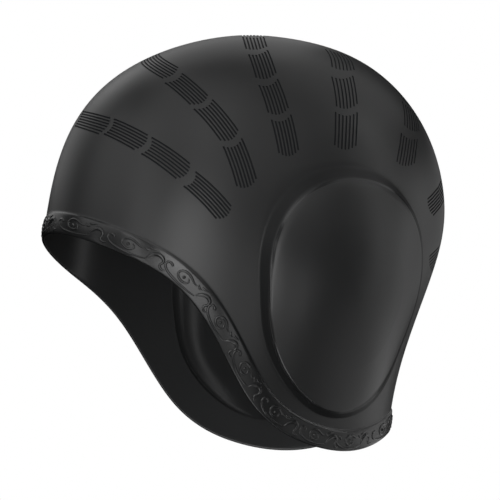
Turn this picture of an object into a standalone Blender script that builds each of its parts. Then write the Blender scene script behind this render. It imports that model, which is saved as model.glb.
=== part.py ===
"""A swim cap moulded in one piece of soft rubber, with a raised pocket over each ear and a
raised band round its hem. Metres, +Z up, the face towards -Y, the origin at the inside top
of the crown.
"""

import bpy
import numpy as np
from mathutils import Vector
from mathutils.geometry import delaunay_2d_cdt

for old in list(bpy.data.objects):
    bpy.data.objects.remove(old)

# Main sizes. The depth runs from the crown down to the lowest level section
CAP_LENGTH = 0.2218
CAP_WIDTH = 0.174
CAP_DEPTH = 0.225
WALL = 0.0011
BAND_WIDTH = 0.011
BAND_RAISE = 0.0007
BAND_STEP = 0.0007

# The ear pocket: its centre along Y, the clearance between the foot of its wall and the hem
# band, and its mean radius, the height of its rim, the width of its wall and its bulge
POCKET_Y = 0.0214
POCKET_GAP = 0.0053
POCKET_RADIUS = 0.05
POCKET_RISE = 0.005
POCKET_WALL = 0.005
POCKET_DOME = 0.0065
POCKET_SWEEP = 1.15

# The raised scrolls on the hem band
BEAD_WIDTH = 0.0010
BEAD_HEIGHT = 0.0004
BEAD_ROOT = 0.0004
BEAD_TAPER = 0.0015

# How closely the surface is divided
SPACING = 0.0108
HEM_POINTS = 42
POCKET_POINTS = 36
WALL_SHARES = (1.0, 0.62, 0.3)
FLOOR_SHARES = (1.0, 0.96, 0.78, 0.54, 0.28)
FIRST_RING = 0.1

# Level sections of the shell: the depth under the crown as a share of the cap's depth, how
# far it reaches to the front and the back as shares of its length and to the side as a share
# of its width, and where along Y it is widest as a share of its length
SECTION_COLUMNS = ("depth", "front", "back", "side", "widest")
SECTIONS = np.array((
    (0.0000, 0.0000, 0.0000, 0.0000, 0.0000),
    (0.0133, 0.1253, 0.1551, 0.1379, -0.0081),
    (0.0533, 0.2529, 0.2683, 0.2534, -0.0180),
    (0.1244, 0.3693, 0.3602, 0.3563, -0.0298),
    (0.2222, 0.4495, 0.4283, 0.4339, -0.0406),
    (0.3333, 0.4923, 0.4653, 0.4793, -0.0496),
    (0.4667, 0.5158, 0.4666, 0.5000, -0.0586),
    (0.6444, 0.5325, 0.4071, 0.4839, -0.0766),
    (0.8222, 0.5334, 0.3499, 0.4328, -0.1127),
    (1.0000, 0.5216, 0.3368, 0.3563, -0.1443),
)) * (CAP_DEPTH, CAP_LENGTH, CAP_LENGTH, CAP_WIDTH, CAP_LENGTH)

# Where the hem lies, by angle in degrees from the middle of the forehead, as a share of the
# cap's depth
HEM_COLUMNS = ("angle", "depth")
HEM = np.array((
    (0.0, 0.5000),
    (22.5, 0.5173),
    (45.0, 0.5667),
    (67.5, 0.6702),
    (90.0, 0.8698),
    (112.5, 0.9720),
    (135.0, 0.9893),
    (157.5, 0.9524),
    (180.0, 0.9320),
)) * (1, CAP_DEPTH)

# The ear pocket seen from the side, by angle about its centre: 0 to the front, 90 down,
# 180 to the back. Its radius, the rise of its rim and the width of its wall are shares of
# the named ones
POCKET_COLUMNS = ("angle", "radius", "rise", "width")
POCKET = np.array((
    (0, 0.828, 1.22, 0.80),
    (30, 0.882, 1.20, 0.62),
    (60, 0.998, 1.10, 0.62),
    (90, 1.128, 0.90, 0.80),
    (120, 1.060, 0.80, 1.20),
    (150, 0.928, 0.70, 1.20),
    (180, 0.956, 0.70, 1.20),
    (210, 1.088, 0.74, 1.20),
    (240, 1.218, 0.80, 1.06),
    (270, 1.165, 0.86, 1.60),
    (300, 1.068, 0.94, 1.66),
    (330, 0.920, 1.12, 1.24),
)) * (1, POCKET_RADIUS, POCKET_RISE, POCKET_WALL)

# Middles of the scrolls, from the forehead towards the wearer's left, as shares of half the
# hem. The pattern runs one way round the whole hem
SCROLL_PLACES = (
    -0.016, 0.107, 0.226, 0.324, 0.411, 0.503, 0.602, 0.699, 0.784, 0.883,
    0.981, 1.084, 1.184, 1.284, 1.384, 1.484, 1.584, 1.684, 1.784, 1.884,
)

# The lines of one scroll: the distance along the hem from its middle as a share of the
# distance between scrolls, and the height over the hem as a share of the band's width, with
# the number of pieces that each line is made in
SCROLL_COLUMNS = ("pieces", "line")
SCROLL = (
    (11, ((-0.263, 0.673), (-0.304, 0.818), (-0.361, 0.709), (-0.323, 0.455),
          (-0.222, 0.264), (-0.089, 0.173), (0.057, 0.191), (0.146, 0.364),
          (0.139, 0.627), (0.057, 0.809), (-0.057, 0.782), (-0.120, 0.600))),
    (2, ((-0.051, 0.600), (-0.025, 0.455), (0.028, 0.400), (0.073, 0.473))),
    (3, ((0.187, 0.745), (0.228, 0.636), (0.278, 0.600), (0.304, 0.673))),
    (3, ((0.323, 0.509), (0.386, 0.727), (0.475, 0.800), (0.551, 0.600))),
    (2, ((0.430, 0.236), (0.475, 0.364), (0.532, 0.355), (0.563, 0.245))),
)


def smooth_curve(knots, values, level_ends=False):
    """A curve with even bending through the values. Its ends are level, or run on as they are."""
    steps = np.diff(knots)
    slopes = np.diff(values) / steps
    count = len(knots)
    system = np.zeros((count, count))
    wanted = np.zeros(count)
    for i in range(1, count - 1):
        system[i, i - 1] = steps[i - 1]
        system[i, i] = 2 * (steps[i - 1] + steps[i])
        system[i, i + 1] = steps[i]
        wanted[i] = 6 * (slopes[i] - slopes[i - 1])
    if level_ends:
        system[0, :2] = 2 * steps[0], steps[0]
        system[-1, -2:] = steps[-1], 2 * steps[-1]
        wanted[0] = 6 * slopes[0]
        wanted[-1] = -6 * slopes[-1]
    else:
        system[0, :3] = steps[1], -steps[0] - steps[1], steps[0]
        system[-1, -3:] = steps[-1], -steps[-2] - steps[-1], steps[-2]
    bends = np.linalg.solve(system, wanted)

    def at(place):
        i = np.clip(np.searchsorted(knots, place) - 1, 0, count - 2)
        right = (place - knots[i]) / steps[i]
        left = 1 - right
        line = left * values[i] + right * values[i + 1]
        bend = (left**3 - left) * bends[i] + (right**3 - right) * bends[i + 1]
        return line + bend * steps[i] ** 2 / 6

    return at


def round_curve(angles, values):
    """A curve with even bending through values given round a full turn, in degrees."""
    turns = np.concatenate([angles - 360, angles, angles + 360])
    return smooth_curve(turns.astype(float), np.tile(values, 3))


SHARES = np.sqrt(SECTIONS[:, 0] / CAP_DEPTH)
front_reach, back_reach, side_reach, widest_line = [
    smooth_curve(SHARES, SECTIONS[:, i]) for i in range(1, 5)
]
hem_depth = smooth_curve(np.radians(HEM[:, 0]), HEM[:, 1], level_ends=True)
pocket_radius, pocket_rise, pocket_width = [
    round_curve(POCKET[:, 0], POCKET[:, i]) for i in range(1, 4)
]


def shell(angle, share):
    """Points of the plain shell. The depth grows with the square of the share."""
    front, back, side, widest = [
        curve(share) for curve in (front_reach, back_reach, side_reach, widest_line)
    ]
    mean = (front + back) / 2
    lean = (front - back) / 2 + widest
    turn = np.cos(angle)
    x = side * np.sin(angle)
    y = widest - (mean + lean * turn) * turn
    z = WALL - CAP_DEPTH * share**2 + 0 * angle
    return np.stack([x, y, z], axis=-1)


def shell_slopes(angle, share):
    step = 1e-4
    along = shell(angle + step, share) - shell(angle - step, share)
    down = shell(angle, share + step) - shell(angle, share - step)
    return along / (2 * step), down / (2 * step)


def shell_normal(angle, share):
    along, down = shell_slopes(angle, np.maximum(share, 0.004))
    normal = np.cross(down, along)
    normal /= np.linalg.norm(normal, axis=-1, keepdims=True)
    return normal


def hem_share(angle):
    return np.sqrt(hem_depth(angle) / CAP_DEPTH)


def hem_offset(angle, distance):
    """The (angle, share) of points this far above the hem, measured over the shell."""
    step = 1e-4
    share = hem_share(angle)
    ahead = shell(angle + step, hem_share(angle + step))
    behind = shell(angle - step, hem_share(angle - step))
    along = ahead - behind
    along /= np.linalg.norm(along, axis=-1, keepdims=True)
    up = np.cross(shell_normal(angle, share), along)
    up *= np.sign(up[..., 2:3])
    target = shell(angle, share) + up * np.asarray(distance)[..., None]
    found_angle, found_share = angle.copy(), share.copy()
    for _ in range(4):
        miss = target - shell(found_angle, found_share)
        a, b = shell_slopes(found_angle, found_share)
        aa, ab, bb = (a * a).sum(-1), (a * b).sum(-1), (b * b).sum(-1)
        ma, mb = (miss * a).sum(-1), (miss * b).sum(-1)
        size = aa * bb - ab * ab
        found_angle = found_angle + (ma * bb - mb * ab) / size
        found_share = found_share + (mb * aa - ma * ab) / size
    ends = (angle == 0) | (angle == np.pi)
    return np.where(ends, angle, found_angle), found_share


def side_place(y, depth):
    """The (angle, share) where the shell has this Y and depth."""
    share = np.sqrt(depth / CAP_DEPTH)
    front, back, widest = front_reach(share), back_reach(share), widest_line(share)
    mean = (front + back) / 2
    lean = (front - back) / 2 + widest
    gap = y - widest
    turn = -2 * gap / (mean + np.sqrt(mean**2 - 4 * lean * gap))
    return np.arccos(turn), share


def pocket_depth():
    """Depth of the ear pocket's centre, from the band's edge below it up."""
    angles = np.linspace(0, np.pi, 200)
    edge = shell(*hem_offset(angles, np.full(200, BAND_WIDTH)))
    edge_depth = np.interp(POCKET_Y, edge[:, 1], WALL - edge[:, 2])
    return edge_depth - POCKET_GAP - pocket_radius(90) - pocket_width(90)


POCKET_DEPTH = pocket_depth()


def pocket_height(angle, share):
    """How far the ear pocket stands out of the shell at these places."""
    place = shell(angle, share)
    back = place[..., 1] - POCKET_Y
    down = CAP_DEPTH * share**2 - POCKET_DEPTH
    turn = np.degrees(np.arctan2(down, -back)) % 360
    radius, rise, width = pocket_radius(turn), pocket_rise(turn), pocket_width(turn)
    reach = np.hypot(back, down)
    evened = POCKET[:, 1].mean()
    inward = np.clip(reach / radius, 0, 1)
    inside = (reach / (evened + (radius - evened) * inward**2)) ** 2
    inside = np.clip(inside, 0, 1)
    middle = POCKET[:, 2].mean() + POCKET_DOME
    floor = rise * inside + middle * (1 - inside)
    beyond = np.clip((reach - radius) / width, 0, 1)
    return np.where(reach <= radius, floor, rise * (1 - beyond) ** POCKET_SWEEP)


def even_levels():
    """Share of the depth against a length that keeps the surface's proportions when laid flat."""
    shares = np.linspace(FIRST_RING / 2, 1.0, 400)
    steps = np.linalg.norm(np.diff(shell(np.full(400, np.pi / 2), shares), axis=0), axis=1)
    radii = (side_reach(shares) + (front_reach(shares) + back_reach(shares)) / 2) / 2
    lengths = np.concatenate([[0], np.cumsum(steps / radii[1:])])
    return shares, lengths, radii


LEVELS, LENGTHS, RADII = even_levels()


def laid_flat(angle, share):
    return np.stack([angle, np.interp(share, LEVELS, LENGTHS)], axis=-1)


def measured_hem():
    """Angles round the hem against the length along it from the forehead."""
    turns = np.linspace(0, np.pi, 600)
    edge = shell(turns, hem_share(turns))
    steps = np.linalg.norm(np.diff(edge, axis=0), axis=1)
    return turns, np.concatenate([[0], np.cumsum(steps)])


HEM_TURNS, HEM_RUN = measured_hem()


def hem_lines():
    """Lines along the hem of one half, each with how far the band stands out there."""
    angles = np.interp(np.linspace(0, HEM_RUN[-1], HEM_POINTS + 1), HEM_RUN, HEM_TURNS)
    angles[-1] = np.pi
    lines = []
    for distance, height in (
        (0.0, BAND_RAISE),
        (BAND_WIDTH - BAND_STEP, BAND_RAISE),
        (BAND_WIDTH, 0.0),
    ):
        angle, share = hem_offset(angles, np.full(len(angles), distance))
        lines.append((angle, share, height))
    return lines


def pocket_rings():
    """Rings of points round the ear pocket, from the foot of its wall to near its middle."""
    turn = np.arange(POCKET_POINTS) * 360 / POCKET_POINTS
    radius = pocket_radius(turn)
    reaches = [radius + share * pocket_width(turn) for share in WALL_SHARES]
    reaches += [radius * share for share in FLOOR_SHARES]
    rings = []
    for reach in reaches:
        y = POCKET_Y - reach * np.cos(np.radians(turn))
        depth = POCKET_DEPTH + reach * np.sin(np.radians(turn))
        rings.append(side_place(y, depth))
    return rings


def level_rows():
    """Level rows of points over one half, from the first ring down, at even distances."""
    rows = []
    share = FIRST_RING
    while share < 1:
        radius = np.interp(share, LEVELS, RADII)
        columns = max(6, round(np.pi * radius / SPACING))
        rows.append((np.linspace(0, np.pi, columns + 1), np.full(columns + 1, share)))
        length = np.interp(share, LEVELS, LENGTHS) + SPACING / radius
        share = np.interp(length, LENGTHS, LEVELS) if length < LENGTHS[-1] else 1
    return rows


def clear_rows(band_line, outer_ring):
    """The level rows without the points that lie near the hem band or the ear pocket."""
    band_share = smooth_curve(band_line[0], band_line[1])
    ring = laid_flat(*outer_ring)
    centre = ring.mean(axis=0)
    ring_turn = np.arctan2(*(ring - centre).T[::-1])
    order = np.argsort(ring_turn)
    ring_turn = ring_turn[order]
    ring_reach = np.linalg.norm(ring - centre, axis=1)[order]
    rows = level_rows()
    kept = [rows[0]]
    for angles, shares in rows[1:]:
        scale = np.interp(shares, LEVELS, RADII)
        flat = laid_flat(angles, shares)
        band_gap = laid_flat(angles, band_share(angles))[:, 1] - flat[:, 1]
        turn = np.arctan2(*(flat - centre).T[::-1])
        limit = np.interp(turn, ring_turn, ring_reach, period=2 * np.pi)
        ring_gap = np.linalg.norm(flat - centre, axis=1) - limit
        keep = (band_gap * scale > 0.5 * SPACING) & (ring_gap * scale > 0.45 * SPACING)
        kept.append((angles[keep], shares[keep]))
    return kept


def half_surface():
    """Places, band heights and triangles of one half, and the hem's points in order."""
    bands = hem_lines()
    rings = pocket_rings()
    rows = clear_rows(bands[2], rings[0])
    middle = side_place(np.array([POCKET_Y]), np.array([POCKET_DEPTH]))
    blocks = bands + [(*place, 0.0) for place in rings + [middle] + rows]
    ends = np.cumsum([0] + [len(block[0]) for block in blocks])
    ids = [np.arange(a, b) for a, b in zip(ends[:-1], ends[1:])]
    band_ids = ids[: len(bands)]
    ring_ids = ids[len(bands): len(bands) + len(rings)]
    top_ids = ids[len(bands) + len(rings) + 1]
    angles = np.concatenate([block[0] for block in blocks])
    shares = np.concatenate([block[1] for block in blocks])
    heights = np.concatenate([np.full(len(block[0]), block[2]) for block in blocks])

    edges = []
    for line in band_ids + [top_ids]:
        edges += list(zip(line[:-1], line[1:]))
    for ring in ring_ids:
        edges += list(zip(ring, np.roll(ring, -1)))
    for side in (0.0, np.pi):
        on_side = np.flatnonzero(angles == side)
        on_side = on_side[np.argsort(shares[on_side])]
        edges += list(zip(on_side[:-1], on_side[1:]))
    flat = [Vector(point) for point in laid_flat(angles, shares)]
    links = [(int(a), int(b)) for a, b in edges]
    found = delaunay_2d_cdt(flat, links, [], 1, 1e-9)
    if len(found[0]) != len(flat):
        raise ValueError("the flat layout has crossing lines")
    sources = np.array([same[0] for same in found[3]])
    triangles = sources[np.array(found[2])]

    apex = len(angles)
    fan = [(apex, a, b) for a, b in zip(top_ids[:-1], top_ids[1:])]
    triangles = np.concatenate([triangles, np.array(fan)])
    angles = np.append(angles, 0.0)
    shares = np.append(shares, 0.0)
    heights = np.append(heights, 0.0)
    return angles, shares, heights, triangles, band_ids[0]


def turned_out(points, triangles):
    """The triangles, each one turned so that it faces away from the inside of the cap."""
    corners = points[triangles]
    normal = np.cross(corners[:, 1] - corners[:, 0], corners[:, 2] - corners[:, 0])
    middle = corners.mean(axis=1) - np.array([0, -0.01, -0.09])
    wrong = (normal * middle).sum(axis=1) < 0
    triangles[wrong] = triangles[wrong][:, ::-1]
    return triangles


def point_normals(points, triangles):
    corners = points[triangles]
    normal = np.cross(corners[:, 1] - corners[:, 0], corners[:, 2] - corners[:, 0])
    total = np.zeros_like(points)
    for i in range(3):
        np.add.at(total, triangles[:, i], normal)
    return total / np.maximum(np.linalg.norm(total, axis=1, keepdims=True), 1e-12)


def cap_mesh():
    """Points and triangles of the whole cap, one closed body."""
    angles, shares, heights, triangles, hem = half_surface()
    base = shell(angles, shares)
    normal = shell_normal(angles, shares)
    normal[-1] = 0, 0, 1
    plain = base + normal * pocket_height(angles, shares)[:, None]
    middle = (angles == 0) | (angles == np.pi)
    middle[-1] = True
    plain[middle, 0] = 0
    normal[middle, 0] = 0
    outer = plain + normal * heights[:, None]
    triangles = turned_out(plain, triangles)

    count = len(plain)
    mirrored = np.arange(count) + count
    mirrored[middle] = np.flatnonzero(middle)
    both = np.concatenate([triangles, mirrored[triangles][:, ::-1]])
    flip = np.array([-1, 1, 1])
    plain_both = np.concatenate([plain, plain * flip])
    outer_both = np.concatenate([outer, outer * flip])
    inner_both = plain_both - WALL * point_normals(plain_both, both)

    total = 2 * count
    hem_loop = np.concatenate([hem, mirrored[hem][-2:0:-1]])
    after = np.roll(hem_loop, -1)
    edge = np.concatenate([
        np.stack([hem_loop, after, after + total], axis=1),
        np.stack([hem_loop, after + total, hem_loop + total], axis=1),
    ])
    faces = np.concatenate([both, both[:, ::-1] + total, edge])
    points = np.concatenate([outer_both, inner_both])
    used, faces = np.unique(faces, return_inverse=True)
    faces = faces.reshape(-1, 3)
    points = points[used]
    forward = {(a, b) for face in faces[: len(both)] for a, b in zip(face, np.roll(face, -1))}
    first = faces[2 * len(both)]
    if (first[0], first[1]) in forward:
        faces[2 * len(both):] = faces[2 * len(both):, ::-1]
    return points, faces


def band_point(run, rise, lift):
    """Points over the hem band, at a distance along the hem from the forehead and above it."""
    half = HEM_RUN[-1]
    run = (run + half) % (2 * half) - half
    angle = np.interp(np.abs(run), HEM_RUN, HEM_TURNS)
    place = hem_offset(angle, rise)
    point = shell(*place) + shell_normal(*place) * (BAND_RAISE + lift)[:, None]
    point[:, 0] *= np.sign(run)
    return point


def scroll_line(line, pieces, middle, pitch):
    """One raised bead of a scroll: rings of three corners, closed at both ends."""
    line = np.array(line) * (pitch, BAND_WIDTH)
    length = np.concatenate([[0], np.cumsum(np.linalg.norm(np.diff(line, axis=0), axis=1))])
    at = np.linspace(0, length[-1], pieces + 1)
    run = smooth_curve(length, line[:, 0])(at)
    rise = smooth_curve(length, line[:, 1])(at)
    ahead = np.stack([np.gradient(run), np.gradient(rise)], axis=1)
    ahead /= np.linalg.norm(ahead, axis=1, keepdims=True)
    taper = np.clip(np.minimum(at, length[-1] - at) / BEAD_TAPER, 0.4, 1)
    points = []
    for across, lift in ((-0.5, -BEAD_ROOT), (0.5, -BEAD_ROOT), (0.0, BEAD_HEIGHT)):
        side = across * BEAD_WIDTH * taper
        place = middle + run - ahead[:, 1] * side, rise + ahead[:, 0] * side
        height = np.full(len(at), lift) if lift < 0 else lift * taper
        points.append(band_point(*place, height))
    count = pieces + 1
    faces = [(0, count, 2 * count), (pieces, 2 * count + pieces, count + pieces)]
    for i in range(pieces):
        for a, b in ((0, 1), (1, 2), (2, 0)):
            first, second = a * count + i, b * count + i
            faces.append((first, first + 1, second + 1))
            faces.append((first, second + 1, second))
    return np.concatenate(points), np.array(faces)


def scroll_mesh():
    """All the scrolls round the hem band, as separate closed beads."""
    half = HEM_RUN[-1]
    places = np.array(SCROLL_PLACES) * half
    before = (places - np.roll(places, 1)) % (2 * half)
    pitches = (before + np.roll(before, -1)) / 2
    points, faces = [], []
    start = 0
    for middle, pitch in zip(places, pitches):
        for pieces, line in SCROLL:
            bead, sides = scroll_line(line, pieces, middle, pitch)
            corners = bead[sides] - bead.mean(axis=0)
            volume = np.einsum("ij,ij->", corners[:, 0], np.cross(corners[:, 1], corners[:, 2]))
            points.append(bead)
            faces.append((sides if volume > 0 else sides[:, ::-1]) + start)
            start += len(bead)
    return np.concatenate(points), np.concatenate(faces)


def rubber(name, colour, roughness):
    material = bpy.data.materials.new(name)
    material.use_nodes = True
    shader = material.node_tree.nodes["Principled BSDF"]
    shader.inputs["Base Color"].default_value = (*colour, 1)
    shader.inputs["Roughness"].default_value = roughness
    return material


def add_solid(name, points, faces):
    mesh = bpy.data.meshes.new(name)
    mesh.from_pydata(points.tolist(), [], faces.tolist())
    mesh.update()
    mesh.shade_smooth()
    solid = bpy.data.objects.new(name, mesh)
    bpy.context.scene.collection.objects.link(solid)
    return solid


cap = add_solid("swim_cap", *cap_mesh())
cap.data.materials.append(rubber("cap_rubber", (0.03, 0.032, 0.033), 0.42))

scrolls = add_solid("band_scrolls", *scroll_mesh())
scrolls.hide_render = True
scrolls.display_type = "WIRE"
join = cap.modifiers.new("scrolls", "BOOLEAN")
join.operation = "UNION"
join.solver = "EXACT"
join.use_self = True
join.object = scrolls
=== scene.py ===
import math

import bmesh
import bpy
import numpy as np
from mathutils import Matrix, Vector
from mathutils.bvhtree import BVHTree
from mathutils.interpolate import poly_3d_calc


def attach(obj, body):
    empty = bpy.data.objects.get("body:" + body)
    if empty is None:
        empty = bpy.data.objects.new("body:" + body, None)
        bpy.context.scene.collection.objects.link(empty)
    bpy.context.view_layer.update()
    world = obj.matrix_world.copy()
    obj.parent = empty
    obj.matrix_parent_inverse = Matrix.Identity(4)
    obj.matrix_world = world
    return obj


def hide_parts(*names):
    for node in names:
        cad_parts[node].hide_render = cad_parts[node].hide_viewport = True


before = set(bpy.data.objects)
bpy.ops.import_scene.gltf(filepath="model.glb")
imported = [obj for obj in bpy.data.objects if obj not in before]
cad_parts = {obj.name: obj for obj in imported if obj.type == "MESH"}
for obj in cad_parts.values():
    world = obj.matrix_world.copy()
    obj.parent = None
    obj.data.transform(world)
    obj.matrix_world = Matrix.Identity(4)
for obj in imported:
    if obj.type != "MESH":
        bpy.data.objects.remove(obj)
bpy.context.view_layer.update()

print("loaded the packed cap")

capShape = {
    "length": 0.2218,  # front to back
    "width": 0.174,  # across, without the ear pockets
    "depth": 0.225,  # from the crown to the lowest level section
    "wall": 0.0011,
    "columns": 96,  # faces along one half of the hem
    "rows": 60,  # faces from the crown patch down to the band
    "crownShare": 0.36,  # where the crown patch ends, as a share of the way down
    "nearestShare": 0.004,  # closer to the crown's middle than this, the normal is the one found here
    "weld": 2e-6,  # points nearer to each other than this become one
    "hemSamples": 600,  # places along half the hem at which its length is measured
    "edgeSamples": 200,  # and at which the band's upper edge is looked for
}

# Level sections as shares of the cap's depth, length and width: depth, then how far each reaches to
# the front, back and side, and where it is widest
sectionTable = np.array((
    (0, 0, 0, 0, 0),
    (0.0133, 0.1253, 0.1551, 0.1379, -0.0081),
    (0.0533, 0.2529, 0.2683, 0.2534, -0.0180),
    (0.1244, 0.3693, 0.3602, 0.3563, -0.0298),
    (0.2222, 0.4495, 0.4283, 0.4339, -0.0406),
    (0.3333, 0.4923, 0.4653, 0.4793, -0.0496),
    (0.4667, 0.5158, 0.4666, 0.5000, -0.0586),
    (0.6444, 0.5325, 0.4071, 0.4839, -0.0766),
    (0.8222, 0.5334, 0.3499, 0.4328, -0.1127),
    (1.0000, 0.5216, 0.3368, 0.3563, -0.1443),
)) * [capShape[size] for size in ("depth", "length", "length", "width", "length")]

# Depth of the hem, as a share of the cap's, by angle from the middle of the forehead
hemTable = np.array((
    (0.0, 0.5000), (22.5, 0.5173), (45.0, 0.5667), (67.5, 0.6702), (90.0, 0.8698),
    (112.5, 0.9720), (135.0, 0.9893), (157.5, 0.9524), (180.0, 0.9320),
)) * (1, capShape["depth"])

pocketShape = {
    "y": 0.0214,  # of its centre, behind the top of the crown
    "gap": 0.0053,  # clear space between the foot of the wall and the hem band
    "radius": 0.05,
    "rise": 0.005,  # height of the rim over the shell
    "wallWidth": 0.005,
    "dome": 0.0065,  # how much higher the middle is than the rim
    "sweep": 1.0,  # how hollow the wall is
    "rimSoft": 0.0009,  # how rounded the rim is
    "innerShift": 0.0035,  # how much smaller the pocket is on the inside
    "innerWidth": 0.0035,  # how much wider its wall is there
    "innerSoft": 0.006,  # and how much rounder
    "wallOvershoot": 4,  # the slope may run on to this many times the rise, where the floor cuts it off
    "footWidths": 1.12,  # from the rim out to where the wall has died away, in widths of the wall
    # Rings of points round it, from the block of the shell that it stands in to its floor
    "blendRings": (0.75, 0.5, 0.25),  # share of the way from the foot of the wall out to the block
    "wallRings": (1.12, 1.0, 0.86, 0.72, 0.58, 0.45, 0.34, 0.25),  # from the rim, in widths of the wall
    "rimRings": (0.75, 0.48, 0.26, 0.1, -0.05, -0.2, -0.4, -0.7, -1.1, -1.7, -2.7, -4.4),  # millimetres
    "floorRings": (0.84, 0.73, 0.62),  # shares of the radius
    "rimStrips": (12, 19),  # the rings, from 0 at the block, between which the rim's finish lies
}

# Round the pocket from its front edge, downwards, as shares of the sizes above: radius, rise of the
# rim, width of the wall, how hollow the wall is and how rounded the rim
pocketTable = np.array((
    (0, 0.828, 1.22, 0.80, 0.92, 1.2),
    (30, 0.888, 1.20, 0.60, 0.90, 1.1),
    (60, 1.004, 1.10, 0.58, 0.90, 1.2),
    (90, 1.134, 0.90, 0.72, 0.92, 1.3),
    (120, 1.060, 0.80, 1.20, 1.00, 1.4),
    (150, 0.928, 0.70, 1.20, 1.00, 1.5),
    (180, 0.966, 0.70, 1.10, 1.00, 1.5),
    (210, 1.106, 0.74, 1.05, 1.10, 1.6),
    (240, 1.218, 0.80, 1.06, 1.35, 3.0),
    (270, 1.165, 0.86, 1.60, 1.60, 4.4),
    (300, 1.068, 0.94, 1.66, 1.50, 4.2),
    (330, 0.920, 1.12, 1.24, 1.15, 2.4),
)) * (1, *[pocketShape[size] for size in ("radius", "rise", "wallWidth", "sweep", "rimSoft")])

bandShape = {
    "width": 0.011,
    "raise": 0.0007,
    "crown": 0.0002,  # how much fuller the middle of the band is than its edges
    "faceFrom": 0.6,  # rows lifted more than this share of the raise belong to the band's face
    "clear": 0.0126,  # where the shell's own rows begin, above the hem
    "finishStrips": (3, 22),  # strips of the section below that have the band's finish
}

# The band in section from the shell down to the hem and up the inside: height above the hem and
# lift from the shell, in millimetres
bandProfile = (
    (12.2, 0.0), (11.75, 0.02), (11.4, 0.10), (11.12, 0.24), (10.86, 0.42), (10.6, 0.57),
    (10.25, 0.67), (9.7, 0.7), (8.8, 0.7), (7.7, 0.7), (6.6, 0.7), (5.5, 0.7), (4.4, 0.7),
    (3.3, 0.7), (2.3, 0.7), (1.4, 0.7), (0.8, 0.68), (0.4, 0.6), (0.14, 0.42), (0.0, 0.12),
    (0.0, -0.3), (0.0, -0.62), (0.1, -0.88), (0.34, -1.04), (0.8, -1.1), (2.0, -1.1),
    (4.2, -1.1), (6.6, -1.1), (9.2, -1.1),
)


def smoothCurve(knots, values, levelEnds=False):  # a smooth curve through the points, as a function
    steps = np.diff(knots)
    slopes = np.diff(values) / steps
    count = len(knots)
    system = np.zeros((count, count))
    wanted = np.zeros(count)
    for i in range(1, count - 1):
        system[i, i - 1:i + 2] = steps[i - 1], 2 * (steps[i - 1] + steps[i]), steps[i]
        wanted[i] = 6 * (slopes[i] - slopes[i - 1])
    if levelEnds:
        system[0, :2] = 2 * steps[0], steps[0]
        system[-1, -2:] = steps[-1], 2 * steps[-1]
        wanted[0], wanted[-1] = 6 * slopes[0], -6 * slopes[-1]
    else:
        system[0, :3] = steps[1], -steps[0] - steps[1], steps[0]
        system[-1, -3:] = steps[-1], -steps[-2] - steps[-1], steps[-2]
    bends = np.linalg.solve(system, wanted)

    def at(place):
        i = np.clip(np.searchsorted(knots, place) - 1, 0, count - 2)
        right = (place - knots[i]) / steps[i]
        left = 1 - right
        bend = (left**3 - left) * bends[i] + (right**3 - right) * bends[i + 1]
        return left * values[i] + right * values[i + 1] + bend * steps[i] ** 2 / 6

    return at


def roundCurve(angles, values):  # the same for values that go once round, in degrees
    turns = np.concatenate([angles - 360, angles, angles + 360]).astype(float)
    return smoothCurve(turns, np.tile(values, 3))


sectionShares = np.sqrt(sectionTable[:, 0] / capShape["depth"])
frontReach, backReach, sideReach, widestLine = [
    smoothCurve(sectionShares, sectionTable[:, i]) for i in range(1, 5)
]
hemDepth = smoothCurve(np.radians(hemTable[:, 0]), hemTable[:, 1], levelEnds=True)
pocketRadius, pocketRise, pocketWidth, pocketSweep, pocketSoft = [
    roundCurve(pocketTable[:, 0], pocketTable[:, i]) for i in range(1, 6)
]


def shellPoint(angle, share):  # angle from the forehead, share of the way down (depth goes by its square)
    front, back, side, widest = [curve(share) for curve in (frontReach, backReach, sideReach, widestLine)]
    turn = np.cos(angle)
    x = side * np.sin(angle)
    y = widest - ((front + back) / 2 + ((front - back) / 2 + widest) * turn) * turn
    z = capShape["wall"] - capShape["depth"] * share**2 + 0 * angle
    return np.stack([x, y, z], axis=-1)


def shellSlopes(angle, share, step=1e-4):
    along = shellPoint(angle + step, share) - shellPoint(angle - step, share)
    down = shellPoint(angle, share + step) - shellPoint(angle, share - step)
    return along / (2 * step), down / (2 * step)


def shellNormal(angle, share):
    along, down = shellSlopes(angle, np.maximum(share, capShape["nearestShare"]))
    normal = np.cross(down, along)
    return normal / np.linalg.norm(normal, axis=-1, keepdims=True)


def hemShare(angle):
    return np.sqrt(hemDepth(angle) / capShape["depth"])


def hemOffset(angle, distance, step=1e-4):  # places this far above the hem, measured over the shell
    share = hemShare(angle)
    ahead, behind = angle + step, angle - step
    along = shellPoint(ahead, hemShare(ahead)) - shellPoint(behind, hemShare(behind))
    along /= np.linalg.norm(along, axis=-1, keepdims=True)
    up = np.cross(shellNormal(angle, share), along)
    up *= np.sign(up[..., 2:3])
    target = shellPoint(angle, share) + up * np.asarray(distance)[..., None]
    foundAngle, foundShare = angle.copy(), share.copy()
    for _ in range(4):  # each round moves along the shell's two slopes towards the wanted place
        miss = target - shellPoint(foundAngle, foundShare)
        a, b = shellSlopes(foundAngle, foundShare)
        aa, ab, bb = (a * a).sum(-1), (a * b).sum(-1), (b * b).sum(-1)
        ma, mb = (miss * a).sum(-1), (miss * b).sum(-1)
        size = aa * bb - ab * ab
        foundAngle = foundAngle + (ma * bb - mb * ab) / size
        foundShare = foundShare + (mb * aa - ma * ab) / size
    ends = (angle == 0) | (angle == np.pi)
    return np.where(ends, angle, foundAngle), foundShare


def sidePlace(y, depth):  # the place on the shell with this y and depth
    share = np.sqrt(depth / capShape["depth"])
    front, back, widest = frontReach(share), backReach(share), widestLine(share)
    mean = (front + back) / 2
    lean = (front - back) / 2 + widest
    gap = y - widest
    return np.arccos(-2 * gap / (mean + np.sqrt(mean**2 - 4 * lean * gap))), share


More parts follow.
